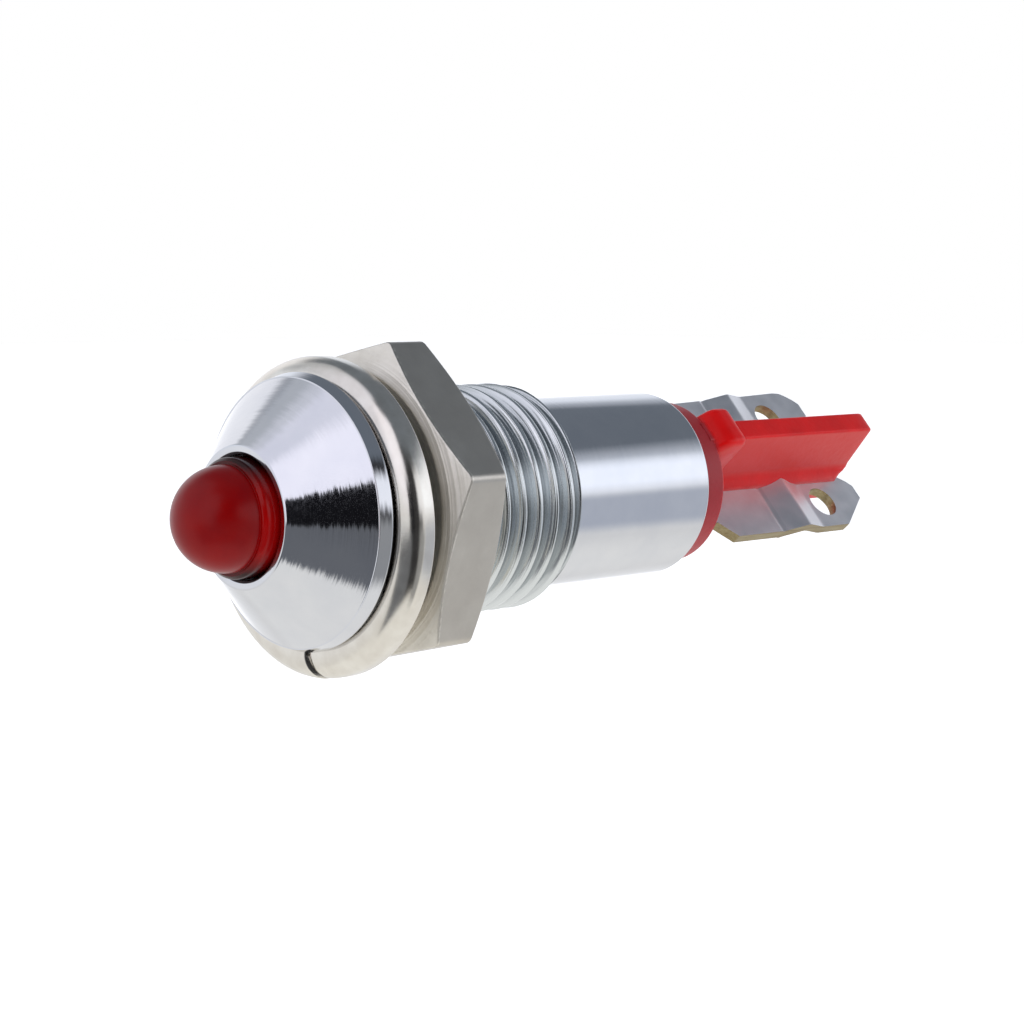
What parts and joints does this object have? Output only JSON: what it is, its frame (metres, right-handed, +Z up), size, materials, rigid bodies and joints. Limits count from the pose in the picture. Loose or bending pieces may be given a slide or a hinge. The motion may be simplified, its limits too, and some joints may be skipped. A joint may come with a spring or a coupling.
{
  "type": "panel pilot light",
  "caption": "Panel indicator lamp: red domed lens in a conical chromed bezel, threaded body with hexagon nut and split washer, red rear insulator and solder tabs.",
  "frame": {"origin": "on the lamp's axis, in the plane of the seat at the rear of the head, which meets the front of the panel", "axes": "+Y along the lamp's axis from the lens towards the solder tabs, +Z up"},
  "size_m": [0.0112, 0.0317, 0.011],
  "materials": {
    "chromed_brass": "turned, threaded and bright chrome plated",
    "nickel_nut": "milled flats and turned face, matt nickel plated",
    "nickel_washer": "tumbled spring steel, warm nickel plated",
    "red_lens": "clear red collar and diffused red dome, moulded",
    "red_insulator": "moulded, semi-gloss",
    "tinned_brass": "punched from tinned sheet, bare brass at the cut edges",
    "led_epoxy": "cast, diffused red",
    "holder_nylon": "moulded, natural",
    "lead_wire": "tinned wire",
    "resistor_lacquer": "dipped lacquer with colour bands",
    "diode_glass": "sealed glass with a cathode band",
    "solder": "bright solder",
    "sleeve_film": "rolled insulating tube"
  },
  "bodies": {
    "lamp": {"housing": "chromed_brass", "lens": "red_lens", "led_holder": "holder_nylon", "led_body": "led_epoxy", "led_anode_lead": "lead_wire", "led_cathode_lead": "lead_wire", "resistor_body": "resistor_lacquer", "resistor_front_wire": "lead_wire", "resistor_rear_wire": "lead_wire", "diode_body": "diode_glass", "diode_front_wire": "lead_wire", "diode_rear_wire": "lead_wire", "solder_anode": "solder", "solder_cathode": "solder", "solder_tab_near": "solder", "solder_tab_far": "solder", "insulating_sleeve": "sleeve_film", "rear_insulator": "red_insulator", "tab_near": "tinned_brass", "tab_far": "tinned_brass"},
    "washer": {"lock_washer": "nickel_washer"},
    "nut": {"hex_nut": "nickel_nut"}
  },
  "joints": [
    {"name": "washer_slide", "type": "slide", "parent": "lamp", "child": "washer", "axis": [0, 1, 0], "range_m": [0, 0.0045]},
    {"name": "nut_spin", "type": "hinge", "parent": "washer", "child": "nut", "pos_m": [0, 0.003, 0], "axis": [0, 1, 0], "range_deg": [0, 2160]}
  ],
  "couplings": [
    {"joint": "nut_spin", "follows": "washer_slide", "rad_per_m": 8377.6}
  ]
}
